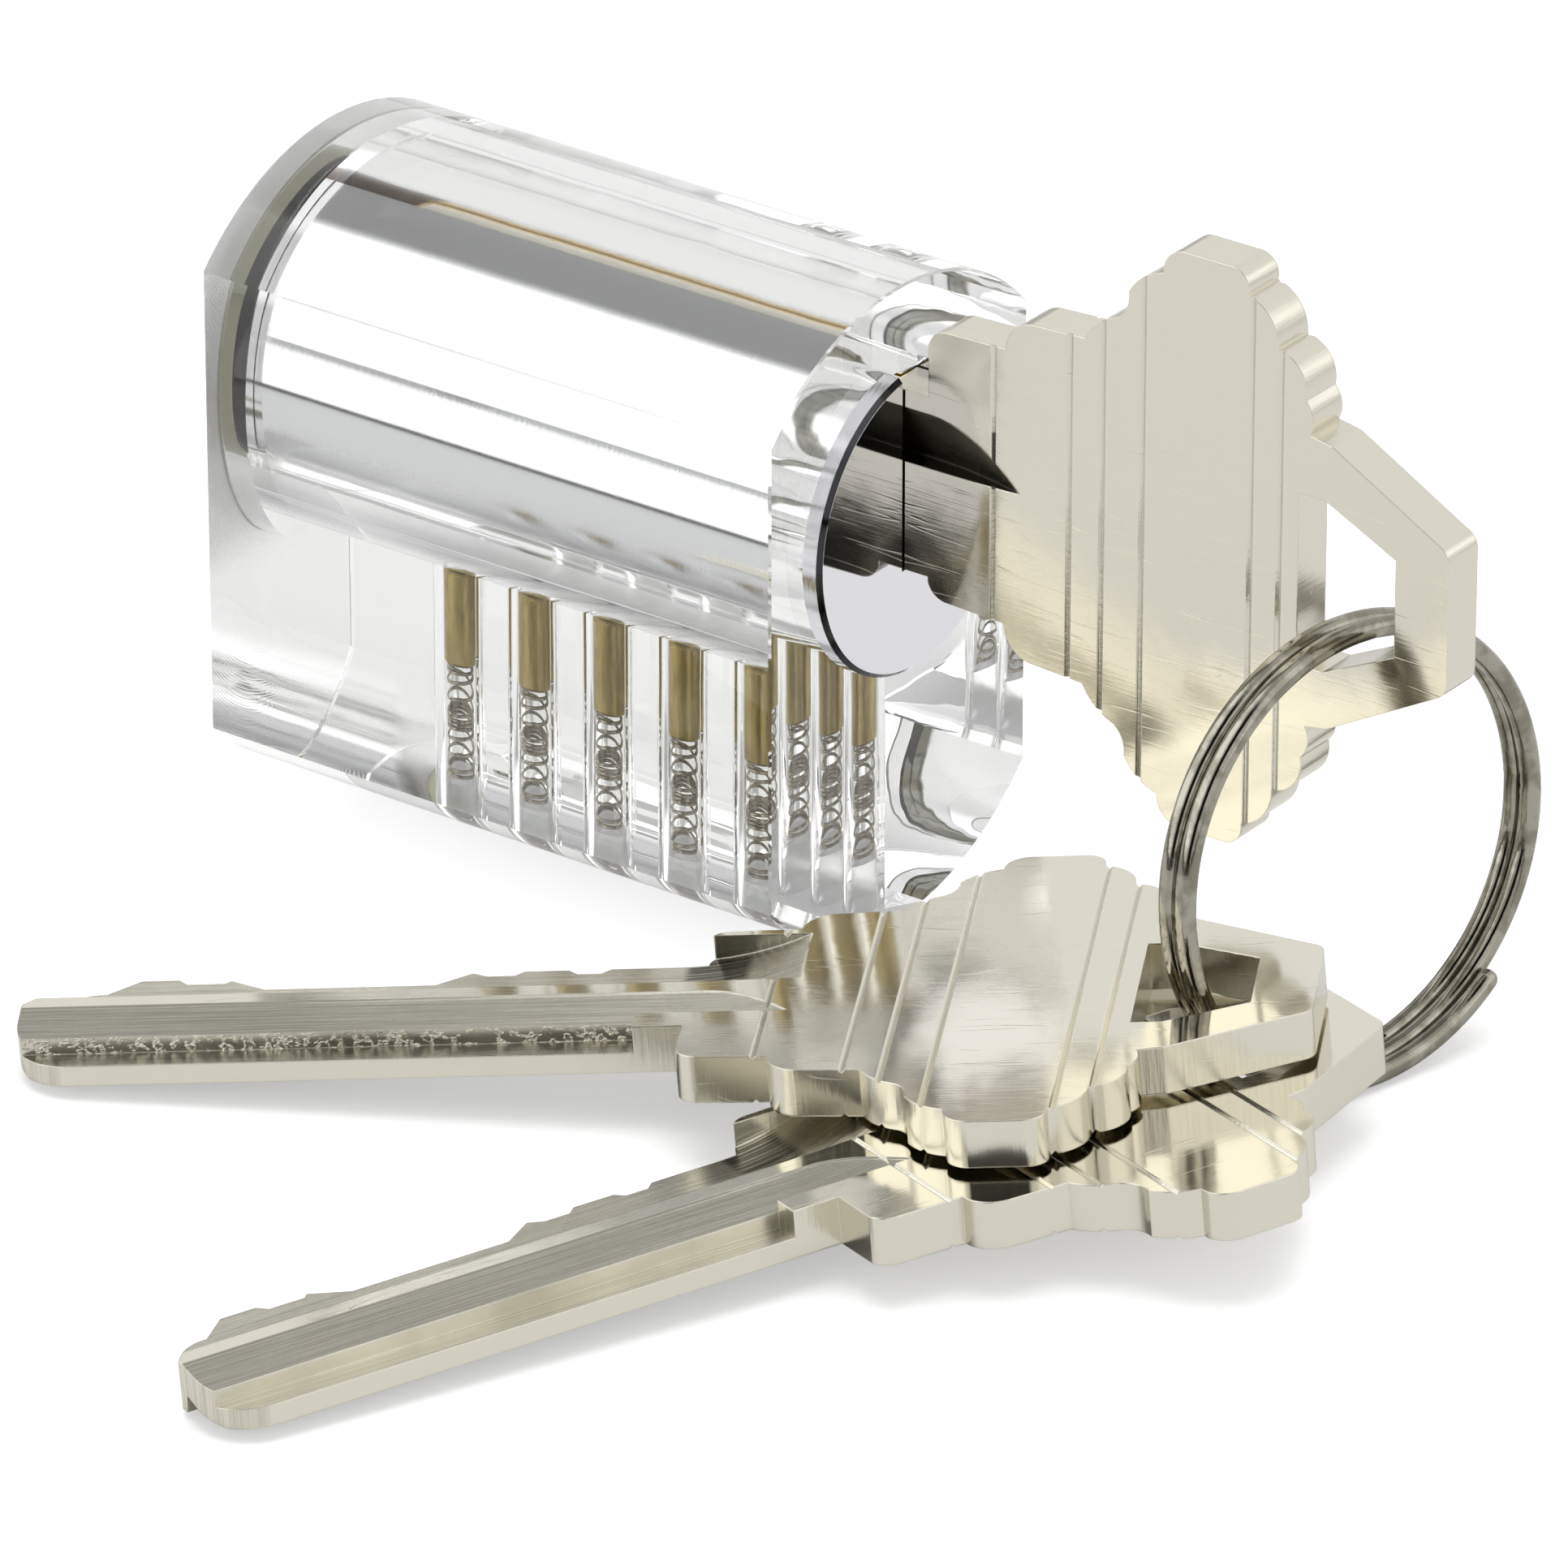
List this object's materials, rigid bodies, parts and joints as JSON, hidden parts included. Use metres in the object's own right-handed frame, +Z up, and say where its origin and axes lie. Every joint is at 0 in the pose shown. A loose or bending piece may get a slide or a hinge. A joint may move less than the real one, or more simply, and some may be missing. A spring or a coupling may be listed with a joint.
{
  "type": "practice lock cylinder",
  "caption": "Clear practice lock: an acrylic cylinder that shows its plug, pins and springs, with a key in it and a split ring that holds two loose keys.",
  "frame": {"origin": "centre of the narrow flat that the clear body stands on, midway along the body's length", "axes": "+Z up; -Y out of the key side, along the plug's axis; +X to the right as seen from the key side"},
  "size_m": [0.0623, 0.0621, 0.0355],
  "materials": {
    "clear_acrylic": "polished, clear, with machined inner faces",
    "peg_acrylic": "clear",
    "chromed_brass": "chrome plate over fine turning marks",
    "pin_brass": "turned",
    "spring_steel": "bright wire",
    "clip_steel": "stamped",
    "key_metal": "nickel plated, warm, lightly brushed",
    "ring_steel": "bright wire"
  },
  "bodies": {
    "lock_body": {"lock_body": "clear_acrylic", "chamber_peg_1": "peg_acrylic", "chamber_peg_2": "peg_acrylic", "chamber_peg_3": "peg_acrylic", "chamber_peg_4": "peg_acrylic", "chamber_peg_5": "peg_acrylic", "driver_spring_1": "spring_steel", "driver_spring_2": "spring_steel", "driver_spring_3": "spring_steel", "driver_spring_4": "spring_steel", "driver_spring_5": "spring_steel"},
    "plug": {"plug": "chromed_brass", "retaining_clip": "clip_steel"},
    "key": {"key": "key_metal"},
    "key_ring": {"key_ring": "ring_steel"},
    "loose_key_upper": {"loose_key_upper": "key_metal"},
    "loose_key_lower": {"loose_key_lower": "key_metal"},
    "key_pin_1": {"key_pin_1": "pin_brass"},
    "driver_pin_1": {"driver_pin_1": "pin_brass"},
    "key_pin_2": {"key_pin_2": "pin_brass"},
    "driver_pin_2": {"driver_pin_2": "pin_brass"},
    "key_pin_3": {"key_pin_3": "pin_brass"},
    "driver_pin_3": {"driver_pin_3": "pin_brass"},
    "key_pin_4": {"key_pin_4": "pin_brass"},
    "driver_pin_4": {"driver_pin_4": "pin_brass"},
    "key_pin_5": {"key_pin_5": "pin_brass"},
    "driver_pin_5": {"driver_pin_5": "pin_brass"}
  },
  "joints": [
    {"name": "plug_turn", "type": "hinge", "parent": "lock_body", "child": "plug", "pos_m": [0, 0, 0.01905], "axis": [0, -1, 0], "continuous": true},
    {"name": "key_slide", "type": "slide", "parent": "plug", "child": "key", "axis": [0, -1, 0], "range_m": [0, 0.03]},
    {"name": "ring_swing", "type": "hinge", "parent": "key", "child": "key_ring", "pos_m": [-0.00012, -0.03747, 0.02009], "axis": [-1, 0, 0], "range_deg": [0, 10]},
    {"name": "upper_key_swing", "type": "hinge", "parent": "key_ring", "child": "loose_key_upper", "pos_m": [-0.0088, -0.03652, 0.00573], "axis": [0, 0.1014, 0.9948], "range_deg": [0, 15]},
    {"name": "lower_key_swing", "type": "hinge", "parent": "key_ring", "child": "loose_key_lower", "pos_m": [-0.00713, -0.03711, 0.00338], "axis": [0, 0.1014, 0.9948], "range_deg": [-5, 15]},
    {"name": "key_pin_lift_1", "type": "slide", "parent": "plug", "child": "key_pin_1", "axis": [0, 0, 1], "range_m": [0, 0.0015]},
    {"name": "driver_press_1", "type": "slide", "parent": "lock_body", "child": "driver_pin_1", "axis": [0, 0, -1], "range_m": [0, 0.0025], "stiffness_N_per_m": 120, "springref_m": -0.004, "deforming": ["driver_spring_1"]},
    {"name": "key_pin_lift_2", "type": "slide", "parent": "plug", "child": "key_pin_2", "axis": [0, 0, 1], "range_m": [0, 0.0015]},
    {"name": "driver_press_2", "type": "slide", "parent": "lock_body", "child": "driver_pin_2", "axis": [0, 0, -1], "range_m": [0, 0.0025], "stiffness_N_per_m": 120, "springref_m": -0.004, "deforming": ["driver_spring_2"]},
    {"name": "key_pin_lift_3", "type": "slide", "parent": "plug", "child": "key_pin_3", "axis": [0, 0, 1], "range_m": [0, 0.0015]},
    {"name": "driver_press_3", "type": "slide", "parent": "lock_body", "child": "driver_pin_3", "axis": [0, 0, -1], "range_m": [0, 0.0025], "stiffness_N_per_m": 120, "springref_m": -0.004, "deforming": ["driver_spring_3"]},
    {"name": "key_pin_lift_4", "type": "slide", "parent": "plug", "child": "key_pin_4", "axis": [0, 0, 1], "range_m": [0, 0.0015]},
    {"name": "driver_press_4", "type": "slide", "parent": "lock_body", "child": "driver_pin_4", "axis": [0, 0, -1], "range_m": [0, 0.0025], "stiffness_N_per_m": 120, "springref_m": -0.004, "deforming": ["driver_spring_4"]},
    {"name": "key_pin_lift_5", "type": "slide", "parent": "plug", "child": "key_pin_5", "axis": [0, 0, 1], "range_m": [0, 0.0015]},
    {"name": "driver_press_5", "type": "slide", "parent": "lock_body", "child": "driver_pin_5", "axis": [0, 0, -1], "range_m": [0, 0.0025], "stiffness_N_per_m": 120, "springref_m": -0.004, "deforming": ["driver_spring_5"]}
  ],
  "couplings": [
    {"joint": "key_pin_lift_1", "follows": "key_slide", "ratio": 0.05},
    {"joint": "key_pin_lift_2", "follows": "key_slide", "ratio": 0.05},
    {"joint": "key_pin_lift_3", "follows": "key_slide", "ratio": 0.05},
    {"joint": "key_pin_lift_4", "follows": "key_slide", "ratio": 0.05},
    {"joint": "key_pin_lift_5", "follows": "key_slide", "ratio": 0.05}
  ]
}
